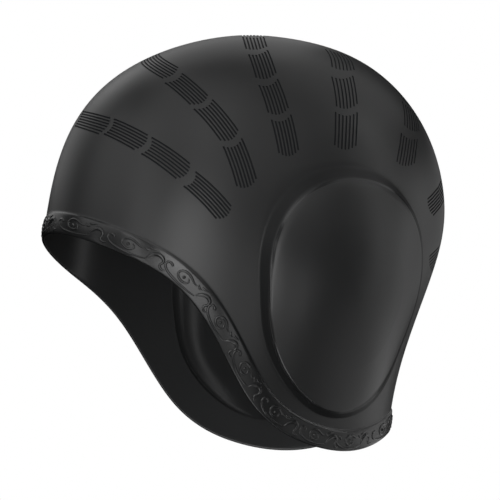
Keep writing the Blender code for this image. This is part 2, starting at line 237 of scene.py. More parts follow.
def pocketDepth():  # depth of its centre, from the band's upper edge and the clear space over it
    angles = np.linspace(0, np.pi, capShape["edgeSamples"])
    edge = shellPoint(*hemOffset(angles, np.full(len(angles), bandShape["width"])))
    edgeDepth = np.interp(pocketShape["y"], edge[:, 1], capShape["wall"] - edge[:, 2])
    return edgeDepth - pocketShape["gap"] - pocketRadius(90) - pocketWidth(90)


pocketCentre = (pocketShape["y"], pocketDepth())


def aroundPocket(back, down):  # distance from its centre and angle: 0 at its front edge, 90 below
    return np.hypot(back, down), np.degrees(np.arctan2(down, -back)) % 360


def pocketHeight(angle, share, inside=False):  # how far the pocket stands out of the shell
    back = shellPoint(angle, share)[..., 1] - pocketCentre[0]
    down = capShape["depth"] * share**2 - pocketCentre[1]
    reach, turn = aroundPocket(back, down)
    radius, rise, width, soft = pocketRadius(turn), pocketRise(turn), pocketWidth(turn), pocketSoft(turn)
    if inside:  # the same wall seen from within the rubber, with a fuller rounding
        radius = radius - pocketShape["innerShift"]
        width = width + pocketShape["innerWidth"]
        soft = np.maximum(soft, pocketShape["innerSoft"])
    evened = pocketTable[:, 1].mean()
    inward = np.clip(reach / radius, 0, 1)
    full = np.clip((reach / (evened + (radius - evened) * inward**2)) ** 2, 0, 1)
    middle = pocketTable[:, 2].mean() + pocketShape["dome"]
    floor = rise * full + middle * (1 - full)
    climb = np.clip(1 - (reach - radius) / width, 0, pocketShape["wallOvershoot"])
    wall = rise * climb ** pocketSweep(turn)
    near = np.clip(soft - np.abs(floor - wall), 0, None) / soft
    return np.minimum(floor, wall) - soft * near**2 / 4


def measuredHem():  # length along the hem at each angle
    turns = np.linspace(0, np.pi, capShape["hemSamples"])
    edge = shellPoint(turns, hemShare(turns))
    return turns, np.concatenate([[0], np.cumsum(np.linalg.norm(np.diff(edge, axis=0), axis=1))])


hemTurns, hemRun = measuredHem()


def placed(angle, share, height):  # points over the shell, with the middle line kept at x = 0
    normal = shellNormal(angle, share)
    middle = (angle == 0) | (angle == np.pi) | (share == 0)
    normal[..., 0] = np.where(middle, 0, normal[..., 0])
    point = shellPoint(angle, share) + normal * np.asarray(height)[..., None]
    point[..., 0] = np.where(middle, 0, point[..., 0])
    return point


def addGrid(net, points, closed=False):  # a sheet of four-sided faces through a table of points
    ids = np.arange(points.shape[0] * points.shape[1]).reshape(points.shape[:2]) + net["count"]
    net["points"].append(points.reshape(-1, 3))
    net["count"] += ids.size
    if closed:
        ids = np.concatenate([ids, ids[:, :1]], axis=1)
    corners = [ids[:-1, :-1], ids[1:, :-1], ids[1:, 1:], ids[:-1, 1:]]
    net["faces"].append(np.stack(corners, -1).reshape(-1, 4))


def crownGrid():  # half of a square sheet laid over the crown, so that no faces meet in a point
    half = capShape["columns"] // 4
    step = np.pi / capShape["columns"]
    u = np.sqrt(2) * np.sin(np.arange(half + 1) * step)[:, None]
    v = np.sqrt(2) * np.sin(np.arange(-half, half + 1) * step)[None, :]
    across = u * np.sqrt(1 - v**2 / 2)
    along = v * np.sqrt(1 - u**2 / 2)
    share = capShape["crownShare"] * np.hypot(across, along)
    angle = np.arctan2(across, -along)
    share[0, half] = 0
    angle[0, :half] = 0
    angle[0, half + 1:] = np.pi
    return angle, share


def sideGrid():  # from the crown patch down to the band
    count = capShape["columns"] + 1
    top = np.linspace(0, np.pi, count)
    hem = np.interp(np.linspace(0, hemRun[-1], count), hemRun, hemTurns)
    hem[-1] = np.pi
    low, lowShare = hemOffset(hem, np.full(count, bandShape["clear"]))
    t = np.linspace(0, 1, capShape["rows"] + 1)[:, None]
    angle = top * (1 - t) + low * t
    angle[:, -1] = np.pi
    return angle, capShape["crownShare"] * (1 - t) + lowShare * t, hem


def blockLoop(top, bottom, left, right):  # rows and columns of the points once round a block of a grid
    high, wide = bottom - top, right - left
    rows = [top] * wide, range(top, bottom), [bottom] * wide, range(bottom, top, -1)
    columns = range(left, right), [right] * high, range(right, left, -1), [left] * high
    return np.concatenate(rows), np.concatenate(columns)


def filledRing(ring, high, wide):  # fills a ring with a sheet that has the same number of faces each way
    top, right = ring[:wide + 1], ring[wide:wide + high + 1]
    bottom = ring[wide + high:2 * wide + high + 1][::-1]
    left = np.append(ring[2 * wide + high:], ring[0])[::-1]
    s, t = np.linspace(0, 1, wide + 1)[None, :], np.linspace(0, 1, high + 1)[:, None]
    sheet = (1 - t) * top + t * bottom + (1 - s) * left[:, None] + s * right[:, None]
    highEnds = (1 - s) * top[0] + s * top[-1]
    lowEnds = (1 - s) * bottom[0] + s * bottom[-1]
    return sheet - ((1 - t) * highEnds + t * lowEnds)


def pocketPatch(angle, share):  # rings round the ear pocket, from a block of the side grid inwards
    back = shellPoint(angle, share)[..., 1] - pocketCentre[0]
    down = capShape["depth"] * share**2 - pocketCentre[1]
    reach, turn = aroundPocket(back, down)
    foot = pocketRadius(turn) + pocketShape["footWidths"] * pocketWidth(turn)
    rows, columns = np.nonzero(reach < foot)
    top, bottom = rows.min() - 2, min(rows.max() + 1, capShape["rows"])
    left, right = columns.min() - 2, columns.max() + 2
    loop = blockLoop(top, bottom, left, right)
    outBack, outDown = back[loop], down[loop]
    distance, turn = aroundPocket(outBack, outDown)
    radius, width = pocketRadius(turn), pocketWidth(turn)
    foot = radius + pocketShape["footWidths"] * width
    reaches = [distance] + [foot + (distance - foot) * part for part in pocketShape["blendRings"]]
    reaches += [radius + part * width for part in pocketShape["wallRings"]]
    reaches += [radius + out / 1000 for out in pocketShape["rimRings"]]
    reaches += [radius * part for part in pocketShape["floorRings"]]
    reaches = np.array(reaches)
    ringBack, ringDown = reaches * outBack / distance, reaches * outDown / distance
    high, wide = bottom - top, right - left
    floorBack, floorDown = filledRing(ringBack[-1], high, wide), filledRing(ringDown[-1], high, wide)
    rings = sidePlace(ringBack + pocketCentre[0], ringDown + pocketCentre[1])
    floor = sidePlace(floorBack + pocketCentre[0], floorDown + pocketCentre[1])
    return (top, bottom, left, right), rings, floor


def addCover(net, heightOf):  # one side of the wall: crown, sides and ear pocket
    crown = crownGrid()
    addGrid(net, placed(*crown, heightOf(*crown)))
    angle, share, _ = sideGrid()
    (top, bottom, left, right), rings, floor = pocketPatch(angle, share)
    points = placed(angle, share, heightOf(angle, share))
    addGrid(net, points[:top + 1])
    addGrid(net, points[top:bottom + 1, :left + 1])
    addGrid(net, points[top:bottom + 1, right:])
    if bottom < capShape["rows"]:
        addGrid(net, points[bottom:])
    ringPoints = placed(*rings, heightOf(*rings))
    ringPoints[0] = points[blockLoop(top, bottom, left, right)]
    addGrid(net, ringPoints, closed=True)
    addGrid(net, placed(*floor, heightOf(*floor)))
    return points[-1]


def bandLift(rise, lift):  # the raised face is a little fuller in its middle
    middle = bandShape["width"] / 2
    full = 1 - ((rise - middle) / middle) ** 2
    onFace = lift > bandShape["faceFrom"] * bandShape["raise"]
    return lift + (bandShape["crown"] * max(full, 0) if onFace else 0)


# Painted shade on the pocket's wall, laid in as lost sheen: how much of the rubber's sheen the wall
# loses, by angle round the pocket, and over how many millimetres that begins at the wall's foot
wallShade = np.array((
    (0, 0.92, 0.7), (30, 0.96, 0.7), (60, 0.96, 0.7), (90, 0.88, 0.7),
    (120, 0.76, 0.8), (150, 0.80, 0.8), (180, 0.80, 0.8), (210, 0.72, 0.9),
    (240, 0.60, 2.5), (270, 0.60, 7.0), (300, 0.74, 6.0), (330, 0.86, 2.0),
))
wallShadeDepth, footBlend = [roundCurve(wallShade[:, 0], wallShade[:, i]) for i in (1, 2)]
# where the painted shade lies on the pocket's wall
shadedWall = {
    "fromRim": 0.6,  # millimetres of the wall under the rim that stay free of the painted shade
    "rimBlend": 0.6,  # and over how many more the painted shade comes in
    "pastFoot": 0.25,  # millimetres past the wall's foot where the painted shade is half gone
    "sideShare": 0.4,  # no nearer to the middle of the cap than this share of its half width
}


def sheenAndShadeAt(points):  # 1 on open faces, less on the pocket's wall, where shade is painted into the sheen
    share = np.sqrt(np.clip((capShape["wall"] - points[:, 2]) / capShape["depth"], 0, 1))
    back = points[:, 1] - pocketCentre[0]
    down = capShape["wall"] - points[:, 2] - pocketCentre[1]
    reach, turn = aroundPocket(back, down)
    loss, blend = wallShadeDepth(turn), footBlend(turn)
    out = (reach - pocketRadius(turn)) * 1000
    rim = np.clip((out - shadedWall["fromRim"]) / shadedWall["rimBlend"], 0, 1)
    footStart = pocketWidth(turn) * 1000 + shadedWall["pastFoot"] - blend / 2
    foot = np.clip((out - footStart) / blend, 0, 1)
    foot = foot * foot * (3 - 2 * foot)
    onSide = np.abs(points[:, 0]) > shadedWall["sideShare"] * sideReach(share)
    return 1 - loss * rim * (1 - foot) * onSide


finishSlots = {"shell": 0, "band": 1, "innerLitFace": 2, "rim": 3}  # material slots of the shell


def makeShell():
    net = {"points": [], "faces": [], "count": 0}
    outerRow = addCover(net, pocketHeight)
    outerGrids = len(net["faces"])
    innerRow = addCover(net, lambda *place: pocketHeight(*place, inside=True) - capShape["wall"])
    finish = [np.full(len(grid), finishSlots["shell" if i < outerGrids else "innerLitFace"])
              for i, grid in enumerate(net["faces"])]
    ringFaces = finish[outerGrids - 2]  # the outer pocket's rings are the last grid but one
    strips = sum(len(pocketShape[part]) for part in ("blendRings", "wallRings", "rimRings", "floorRings"))
    strip = np.arange(len(ringFaces)) * strips // len(ringFaces)
    first, last = pocketShape["rimStrips"]
    ringFaces[(strip >= first) & (strip < last)] = finishSlots["rim"]

    hem = sideGrid()[2]
    rows = [outerRow]
    for rise, lift in bandProfile:
        rise, lift = rise / 1000, lift / 1000
        angle, share = hemOffset(hem, np.full(len(hem), rise))
        rows.append(placed(angle, share, np.full(len(hem), bandLift(rise, lift))))
    rows.append(innerRow)
    addGrid(net, np.array(rows))
    first, last = bandShape["finishStrips"]
    strip = np.arange(len(rows) - 1)
    bandFinish = np.select([strip < first, strip < last], [finishSlots["shell"], finishSlots["band"]],
                           finishSlots["innerLitFace"])
    finish.append(np.repeat(bandFinish, len(hem) - 1))

    points, faces = np.concatenate(net["points"]), np.concatenate(net["faces"])
    points = np.concatenate([points, points * (-1, 1, 1)])
    faces = np.concatenate([faces, faces[:, ::-1] + net["count"]])
    mesh = bpy.data.meshes.new("capShell")
    mesh.from_pydata(points.tolist(), [], faces.tolist())
    for _ in finishSlots:
        mesh.materials.append(None)
    mesh.polygons.foreach_set("material_index", np.tile(np.concatenate(finish), 2).astype(np.int32))
    work = bmesh.new()
    work.from_mesh(mesh)
    bmesh.ops.remove_doubles(work, verts=work.verts, dist=capShape["weld"])
    bmesh.ops.recalc_face_normals(work, faces=work.faces)
    loose = sum(not edge.is_manifold for edge in work.edges)
    volume = work.calc_volume(signed=True)
    work.to_mesh(mesh)
    work.free()
    mesh.shade_smooth()
    print(f"shell: {len(mesh.polygons)} faces, {loose} open edges, {volume * 1e6:.1f} cm3")
    return mesh


def addObject(name, mesh):
    thing = bpy.data.objects.new(name, mesh)
    bpy.context.scene.collection.objects.link(thing)
    return thing


def addGuide(name, points, edges, **values):  # bare points and edges, with values kept on the points
    mesh = bpy.data.meshes.new(name)
    mesh.from_pydata(points, edges, [])
    for label, numbers in values.items():
        mesh.attributes.new(label, "FLOAT", "POINT").data.foreach_set("value", numbers)
    return addObject(name, mesh)


def newTree(name, inputs):  # an empty geometry tree with its named inputs
    tree = bpy.data.node_groups.new(name, "GeometryNodeTree")
    tree.is_modifier = True
    tree.interface.new_socket("Geometry", in_out="INPUT", socket_type="NodeSocketGeometry")
    tree.interface.new_socket("Geometry", in_out="OUTPUT", socket_type="NodeSocketGeometry")
    for label, kind in inputs.items():
        tree.interface.new_socket(label, in_out="INPUT", socket_type="NodeSocket" + kind)
    return tree


def node(tree, kind, links=None, **settings):  # a node with its settings, its links and set values
    made = tree.nodes.new(kind)
    for key, value in settings.items():
        setattr(made, key, value)
    for socket, value in (links or {}).items():
        target = made.inputs[socket]
        if isinstance(value, bpy.types.NodeSocket):
            tree.links.new(value, target)
        else:
            target.default_value = value
    return made


def geo(tree, kind, links=None, **settings):  # the first output of a geometry node
    return node(tree, "GeometryNode" + kind, links, **settings).outputs[0]


def shade(tree, kind, links=None, **settings):  # the first output of a shader or utility node
    return node(tree, "ShaderNode" + kind, links, **settings).outputs[0]


def calc(tree, operation, a, b=0.0, clamp=False):
    return shade(tree, "Math", {0: a, 1: b}, operation=operation, use_clamp=clamp)


def vectorCalc(tree, operation, a, b=None, scale=None):
    links = {key: value for key, value in ((0, a), (1, b), ("Scale", scale)) if value is not None}
    return shade(tree, "VectorMath", links, operation=operation)


def objectMesh(tree, thing):
    return node(tree, "GeometryNodeObjectInfo", {"Object": thing}).outputs["Geometry"]


def attribute(tree, name, kind="FLOAT"):
    made = node(tree, "GeometryNodeInputNamedAttribute", {"Name": name}, data_type=kind)
    return made.outputs["Attribute"]


def runTree(holder, tree, values):  # sets the inputs by identifier, then keeps the result as a plain mesh
    modifier = holder.modifiers.new(tree.name, "NODES")
    modifier.node_group = tree
    for item in tree.interface.items_tree:
        if item.in_out == "INPUT" and item.name in values:
            modifier[item.identifier] = values[item.name]
    bpy.context.view_layer.update()
    solid = holder.evaluated_get(bpy.context.evaluated_depsgraph_get())
    mesh = bpy.data.meshes.new_from_object(solid)
    holder.modifiers.remove(modifier)
    return mesh


# rib grooves
ribShape = {
    "lines": 7,  # grooves in each block
    "lineWidth": 0.00096,
    "arc": 0.0024,  # how far the middle line of a block runs past the outer ones
    "steps": 9,  # points along each groove
    "sides": 8,  # of the round rod that cuts it
    "sink": 0.00004,  # how far the middle of the rod lies under the shell's face
    "bend": 0.2,  # how much a line steepens towards the hem
}

# Blocks of grooves, in rows that run down from the middle line towards the ear. For each block: angle and
# share where it starts and where it ends, its widths there and the slants of its ends in millimetres
ribRows = (
    ((2.5, 0.474, 28.6, 0.5155, 9.6, 10.6, -3.0, 1.5),
     (30.9, 0.518, 46.4, 0.561, 10.0, 10.5, 0.5, 1.5),
     (48.5, 0.568, 61.4, 0.620, 10.5, 10.9, -0.4, 0.1),
     (63.5, 0.634, 73.8, 0.690, 10.1, 10.5, -0.2, -0.2)),
    ((10.0, 0.262, 47.4, 0.377, 10.8, 11.0, 0.0, -0.5),
     (50.1, 0.396, 62.8, 0.465, 10.8, 10.7, 1.4, 1.4),
     (64.4, 0.476, 73.8, 0.549, 11.3, 11.1, 1.8, -0.1),
     (74.8, 0.563, 79.5, 0.639, 11.1, 11.2, -0.7, -1.4)),
    ((66.0, 0.056, 75.0, 0.140, 11.6, 11.8, 0.0, -2.4),
     (75.5, 0.161, 79.5, 0.261, 11.9, 12.0, -2.3, -4.0),
     (80.5, 0.287, 84.0, 0.385, 11.8, 12.0, -4.6, -3.2),
     (84.7, 0.407, 87.8, 0.486, 11.9, 11.9, -2.7, -1.7),
     (88.6, 0.502, 90.8, 0.577, 11.8, 11.4, -1.8, -1.1)),
    ((129.0, 0.217, 118.0, 0.322, 15.0, 14.6, -4.0, -8.0),
     (114.5, 0.358, 111.1, 0.454, 15.0, 13.8, -7.6, -6.4),
     (110.2, 0.474, 107.9, 0.554, 14.0, 13.3, -5.2, -3.7)),
    ((161.0, 0.336, 153.0, 0.398, 14.0, 14.0, -4.0, -6.0),
     (149.6, 0.414, 140.4, 0.482, 14.4, 14.2, -5.0, -8.6),
     (136.4, 0.506, 130.6, 0.571, 14.1, 14.0, -8.2, -8.3)),
    ((178.0, 0.574, 168.0, 0.586, 10.8, 10.9, 0.0, 0.0),
     (164.5, 0.591, 143.2, 0.648, 10.9, 11.0, -0.5, -2.8)),
    ((177.5, 0.702, 168.5, 0.708, 11.8, 12.0, 0.0, -1.0),
     (165.0, 0.717, 152.6, 0.7405, 12.6, 12.6, -2.0, -9.0)),
)


def makeRibGuides():  # one middle line for each block, on both sides
    points, edges, widths, slants = [], [], [], []
    for row in ribRows:
        for angle0, share0, angle1, share1, width0, width1, slant0, slant1 in row:
            t = np.linspace(0, 1, ribShape["steps"])
            down = t * (1 - ribShape["bend"] * (1 - t))
            angle = np.radians(angle0 + (angle1 - angle0) * t)
            line = shellPoint(angle, share0 + (share1 - share0) * down)
            for side in (1, -1):
                edges += [(len(points) + i, len(points) + i + 1) for i in range(len(t) - 1)]
                points += (line * (side, 1, 1)).tolist()
                widths += ((width0 + (width1 - width0) * t) / 1000).tolist()
                slants += (side * (slant0 + (slant1 - slant0) * t) / 1000).tolist()
    return addGuide("rib_guides", points, edges, blockWidth=widths, blockSlant=slants)


def ribTree():
    tree = newTree("ribGrooves", {
        "Shell": "Object", "Lines": "Int", "Line width": "Float", "Arc": "Float",
        "Sink": "Float", "Steps": "Int", "Sides": "Int", "Groove shade finish": "Material",
    })
    given = node(tree, "NodeGroupInput").outputs
    shell = objectMesh(tree, given["Shell"])
    curve = geo(tree, "MeshToCurve", {"Mesh": given["Geometry"]})
    curve = geo(tree, "ResampleCurve", {"Curve": curve, "Count": given["Steps"]})
    copies = node(tree, "GeometryNodeDuplicateElements", {
        "Geometry": curve, "Amount": given["Lines"]}, domain="SPLINE").outputs
    last = calc(tree, "SUBTRACT", given["Lines"], 1.0)
    place = calc(tree, "SUBTRACT", calc(tree, "DIVIDE", copies["Duplicate Index"], last), 0.5)
    normal = node(tree, "GeometryNodeSampleNearestSurface", {
        "Mesh": shell, "Value": geo(tree, "InputNormal")}, data_type="FLOAT_VECTOR").outputs["Value"]
    along = geo(tree, "InputTangent")
    across = vectorCalc(tree, "NORMALIZE", vectorCalc(tree, "CROSS_PRODUCT", normal, along))
    clear = calc(tree, "SUBTRACT", attribute(tree, "blockWidth"), given["Line width"])
    sideways = vectorCalc(tree, "SCALE", across, scale=calc(tree, "MULTIPLY", place, clear))
    outward = calc(tree, "MULTIPLY", place, 2.0)  # 0 on the block's middle line, 1 and -1 on its outer ones
    bow = calc(tree, "SUBTRACT", 1.0, calc(tree, "MULTIPLY", outward, outward))
    slant = calc(tree, "MULTIPLY", place, attribute(tree, "blockSlant"))
    slide = calc(tree, "ADD", calc(tree, "MULTIPLY", bow, given["Arc"]), slant)
    forward = vectorCalc(tree, "SCALE", along, scale=slide)
    spread = geo(tree, "SetPosition", {
        "Geometry": copies["Geometry"], "Offset": vectorCalc(tree, "ADD", sideways, forward)})
    nearest = node(tree, "GeometryNodeProximity", {"Target": shell}, target_element="FACES").outputs
    down = vectorCalc(tree, "SCALE", normal, scale=calc(tree, "MULTIPLY", given["Sink"], -1.0))
    laid = geo(tree, "SetPosition", {"Geometry": spread, "Position": nearest["Position"], "Offset": down})
    half = calc(tree, "MULTIPLY", given["Line width"], 0.5)
    ring = geo(tree, "CurvePrimitiveCircle", {"Resolution": given["Sides"], "Radius": half})
    rods = geo(tree, "CurveToMesh", {"Curve": laid, "Profile Curve": ring, "Fill Caps": True})
    rods = geo(tree, "StoreNamedAttribute", {
        "Geometry": rods, "Name": "inGroove", "Value": 1.0}, data_type="FLOAT", domain="FACE")
    cut = geo(tree, "MeshBoolean", {"Mesh 1": shell, "Mesh 2": rods},
              operation="DIFFERENCE", solver="MANIFOLD")
    cut = geo(tree, "RealizeInstances", {"Geometry": cut})
    inGroove = node(tree, "FunctionNodeCompare", {0: attribute(tree, "inGroove"), 1: 0.5},
                    data_type="FLOAT", operation="GREATER_THAN").outputs[0]
    # the cut faces take the darker finish, painted shade in the grooves
    done = geo(tree, "SetMaterial", {
        "Geometry": cut, "Selection": inGroove, "Material": given["Groove shade finish"]})
    node(tree, "NodeGroupOutput", {"Geometry": done})
    return tree


def keepShading(cut, whole):  # round the grooves the shell keeps the smooth normals of the uncut one
    inGroove = np.zeros(len(cut.polygons))
    cut.attributes["inGroove"].data.foreach_get("value", inGroove)
    corner, corners = np.zeros(len(cut.loops), int), np.zeros(len(cut.polygons), int)
    cut.loops.foreach_get("vertex_index", corner)
    cut.polygons.foreach_get("loop_total", corners)
    grooveCorner = np.repeat(inGroove > 0.5, corners)
    atGroove = np.zeros(len(cut.vertices), bool)
    atGroove[corner[grooveCorner]] = True
    faceStart = np.cumsum(corners) - corners
    touched = np.logical_or.reduceat(atGroove[corner], faceStart) & (inGroove < 0.5)
    wanted = np.repeat(touched, corners)
    near = np.unique(corner[wanted])
    points = [vertex.co for vertex in whole.vertices]
    faces = [tuple(face.vertices) for face in whole.polygons]
    finder = BVHTree.FromPolygons(points, faces)
    normals = np.zeros((len(cut.vertices), 3))
    for index in near.tolist():
        spot, _, found, _ = finder.find_nearest(cut.vertices[index].co)
        around = faces[found]
        parts = poly_3d_calc([points[i] for i in around], spot)
        normals[index] = sum((whole.vertices[i].normal * part for i, part in zip(around, parts)), Vector())
    edgeUse = {}  # the edges of the grooves stay sharp
    for face, cutFace in zip(cut.polygons, inGroove > 0.5):
        for key in face.edge_keys:
            edgeUse.setdefault(key, set()).add(bool(cutFace))
    for edge in cut.edges:
        edge.use_edge_sharp = len(edgeUse.get(edge.key, ())) == 2
    byCorner = np.zeros((len(corner), 3))
    byCorner[wanted] = normals[corner[wanted]]
    cut.normals_split_custom_set(byCorner.tolist())
    cut.attributes.remove(cut.attributes["inGroove"])


# raised scrolls on the hem band
scrollShape = {
    "beadWidth": 0.0013,
    "beadHeight": 0.0011,  # from the top of a bead to its hidden underside
    "sink": 0.00012,  # how far the middle of a bead lies under the face of the band
    "sides": 10,
    "points": 6,  # between two control points
}

# Where the middle of each spiral stands, as shares of half the hem, going once round from the forehead
scrollPlaces = (-0.012, 0.113, 0.233, 0.334, 0.420, 0.503, 0.602, 0.699, 0.784, 0.883,
                0.981, 1.084, 1.184, 1.284, 1.384, 1.484, 1.584, 1.684, 1.784, 1.884)

# The lines of one motif: run as a share of the pitch, rise as a share of the band, and how full the bead is
scrollLines = (
    ((-0.245, 0.585, 0.9), (-0.262, 0.64, 1.2), (-0.3, 0.68, 1.1), (-0.34, 0.655, 1.0),
     (-0.362, 0.55, 1.0), (-0.342, 0.41, 1.0), (-0.285, 0.3, 1.0), (-0.2, 0.22, 1.0),
     (-0.09, 0.17, 1.0), (0.03, 0.155, 0.9), (0.14, 0.17, 0.8), (0.24, 0.205, 0.7),
     (0.32, 0.265, 0.5)),
    ((0.235, 0.64, 0.5), (0.17, 0.65, 0.8), (0.115, 0.71, 1.0), (0.04, 0.775, 1.1),
     (-0.045, 0.76, 1.1), (-0.105, 0.64, 1.0), (-0.11, 0.48, 1.0), (-0.06, 0.36, 1.0),
     (0.015, 0.32, 1.0), (0.08, 0.385, 0.9), (0.1, 0.51, 0.8), (0.065, 0.62, 0.6)),
    ((-0.025, 0.56, 0.7), (-0.004, 0.53, 1.5), (0.022, 0.545, 0.7)),
    ((0.33, 0.29, 0.5), (0.355, 0.45, 1.2), (0.41, 0.61, 1.6), (0.48, 0.69, 1.7),
     (0.55, 0.62, 1.5), (0.568, 0.48, 1.1), (0.548, 0.34, 1.0), (0.562, 0.23, 1.0),
     (0.61, 0.185, 0.9), (0.655, 0.225, 0.5)),
    ((0.235, 0.76, 0.4), (0.265, 0.69, 0.9), (0.3, 0.66, 0.8), (0.34, 0.7, 0.3)),
    ((0.3, 0.8, 0.3), (0.35, 0.79, 0.9), (0.4, 0.83, 0.8), (0.45, 0.87, 0.3)),
)


def makeScrollMotif():  # the lines of one motif, laid out flat
    points, edges, fullness = [], [], []
    for line in scrollLines:
        edges += [(len(points) + i, len(points) + i + 1) for i in range(len(line) - 1)]
        points += [(run, rise * bandShape["width"], 0) for run, rise, _ in line]
        fullness += [full for _, _, full in line]
    return addGuide("scroll_motif", points, edges, bead=fullness)


def makeScrollPlaces():  # one point for each motif, with the length that it may take up
    places = np.array(scrollPlaces)
    steps = np.diff(np.append(places, places[0] + 2))
    pitch = (steps + np.roll(steps, 1)) / 2 * hemRun[-1]
    return addGuide("scroll_places", [(place * hemRun[-1], 0, 0) for place in places], [], pitch=pitch)


def makeBandStrip():  # the face of the band as a sheet, with the run and the rise for its UV map
    columns, rows = 240, 12
    runs = np.linspace(0, 1, columns + 1)
    half = 1 - np.abs(1 - 2 * runs)
    angle = np.interp(half * hemRun[-1], hemRun, hemTurns)
    angle[columns // 2] = np.pi
    rises = np.linspace(0, bandShape["width"], rows + 1)
    points, uvs = [], []
    for rise in rises:
        turn, share = hemOffset(angle, np.full(columns + 1, rise))
        line = placed(turn, share, np.full(columns + 1, bandLift(rise, bandShape["raise"])))
        line[:, 0] *= np.where(runs > 0.5, -1, 1)
        points.append(line)
        uvs.append(np.stack([runs, np.full(columns + 1, rise / bandShape["width"])], -1))
    net = {"points": [], "faces": [], "count": 0}
    addGrid(net, np.array(points))
    mesh = bpy.data.meshes.new("bandStrip")
    faces = net["faces"][0]
    mesh.from_pydata(net["points"][0].tolist(), [], faces.tolist())
    layer = mesh.uv_layers.new(name="bandMap")
    layer.data.foreach_set("uv", np.concatenate(uvs)[faces.ravel()].ravel().astype(np.float32))
    work = bmesh.new()
    work.from_mesh(mesh)
    outward = sum(face.normal.dot(face.calc_center_median() - Vector((0, 0, face.calc_center_median().z)))
                  for face in work.faces)
    if outward < 0:
        bmesh.ops.reverse_faces(work, faces=work.faces)
    work.to_mesh(mesh)
    work.free()
    mesh.shade_smooth()
    return addObject("band_strip", mesh)


def scrollTree():
    tree = newTree("bandScrolls", {
        "Motif": "Object", "Band": "Object", "Hem length": "Float", "Band width": "Float",
        "Bead width": "Float", "Bead height": "Float", "Sink": "Float", "Sides": "Int", "Points": "Int",
        "Scroll finish": "Material",
    })
    given = node(tree, "NodeGroupInput").outputs
    band = objectMesh(tree, given["Band"])
    lines = geo(tree, "MeshToCurve", {"Mesh": objectMesh(tree, given["Motif"])})
    lines = geo(tree, "CurveSplineType", {"Curve": lines}, spline_type="CATMULL_ROM")
    lines = geo(tree, "SetSplineResolution", {"Geometry": lines, "Resolution": given["Points"]})
    lines = geo(tree, "ResampleCurve", {"Curve": lines}, mode="EVALUATED")
    size = shade(tree, "CombineXYZ", {0: attribute(tree, "pitch"), 1: 1.0, 2: 1.0})
    row = geo(tree, "InstanceOnPoints", {
        "Points": geo(tree, "MeshToPoints", {"Mesh": given["Geometry"]}),
        "Instance": lines, "Scale": size})
    row = geo(tree, "RealizeInstances", {"Geometry": row})
    position = geo(tree, "InputPosition")
    flat = node(tree, "ShaderNodeSeparateXYZ", {0: position}).outputs
    run = calc(tree, "FRACT", calc(tree, "DIVIDE", flat[0], given["Hem length"]))
    rise = calc(tree, "DIVIDE", flat[1], given["Band width"])
    where = shade(tree, "CombineXYZ", {0: run, 1: rise})
    mapped = {}
    for label, value in (("place", position), ("normal", geo(tree, "InputNormal"))):
        mapped[label] = node(tree, "GeometryNodeSampleUVSurface", {
            "Mesh": band, "Value": value, "Source UV Map": attribute(tree, "bandMap", "FLOAT_VECTOR"),
            "Sample UV": where}, data_type="FLOAT_VECTOR").outputs["Value"]
    lift = calc(tree, "SUBTRACT", flat[2], given["Sink"])
    row = geo(tree, "SetCurveNormal", {"Curve": row, "Normal": mapped["normal"]}, mode="FREE")
    laid = geo(tree, "SetPosition", {
        "Geometry": row, "Position": mapped["place"],
        "Offset": vectorCalc(tree, "SCALE", mapped["normal"], scale=lift)})
    ring = geo(tree, "CurvePrimitiveCircle", {"Resolution": given["Sides"], "Radius": 0.5})
    oval = shade(tree, "CombineXYZ", {0: given["Bead height"], 1: given["Bead width"], 2: 1.0})
    ring = geo(tree, "Transform", {"Geometry": ring, "Scale": oval})
    beads = geo(tree, "CurveToMesh", {
        "Curve": laid, "Profile Curve": ring, "Scale": attribute(tree, "bead"), "Fill Caps": True})
    beads = geo(tree, "SetShadeSmooth", {"Geometry": beads})
    beads = geo(tree, "RealizeInstances", {"Geometry": beads})
    done = geo(tree, "SetMaterial", {"Geometry": beads, "Material": given["Scroll finish"]})
    node(tree, "NodeGroupOutput", {"Geometry": done})
    return tree


# finishes
plainLook = {"colour": (0.011, 0.0113, 0.0116), "roughness": 0.60, "sheenRoughness": 0.38, "sheenAndShade": 1.0,
             "patch": 0.10, "grain": 0.00002}
smoothLook = {**plainLook, "roughness": 0.50, "sheenRoughness": 0.18, "patch": 0.06, "grain": 0.00001}
finishes = {
    "shell": plainLook,
    "band": {**plainLook, "roughness": 0.50, "sheenRoughness": 0.22},
    "rim": smoothLook,
    # a little paler than the band: painted highlight on the raised beads
    "scroll": {**smoothLook, "colour": (0.013, 0.0133, 0.0136), "roughness": 0.40, "sheenRoughness": 0.17},
    # in the grooves: darker colour and little sheen, painted shade in them
    "grooveShade": {**plainLook, "colour": (0.008, 0.0086, 0.010), "roughness": 0.70, "sheenRoughness": 0.60,
               "sheenAndShade": 0.25, "patch": 0.05},
    # the inner face paler and with less sheen than the outside: painted fill light inside the cap
    "innerLitFace": {**plainLook, "colour": (0.030, 0.0306, 0.0312), "sheenRoughness": 0.22, "sheenAndShade": 0.6},
}

rubber = {
    "patches": {"Scale": 26.0, "Detail": 3.0, "Roughness": 0.55},  # soft clouds in the sheen
    "dust": {"Scale": 900.0, "Detail": 4.0, "Roughness": 0.6},
    "skin": {"Scale": 1600.0, "Detail": 2.0, "Roughness": 0.5},  # fine grain of the mould
    "baseTone": 0.78,  # darkest shade of the colour
    "dustTone": 0.24,  # how much the dust and the patches lighten it
    "patchTone": 0.2,
    "dustRoughness": 0.10,
    "patchWear": 0.5,  # how much of the sheen a rougher patch loses
    "sheenIor": 1.5,
    "underShine": 0.12,  # mirror strength of the rubber under its sheen
    "innerShadeShare": 0.3,  # the painted shade on the inner face is only this share of that on the wall outside
}


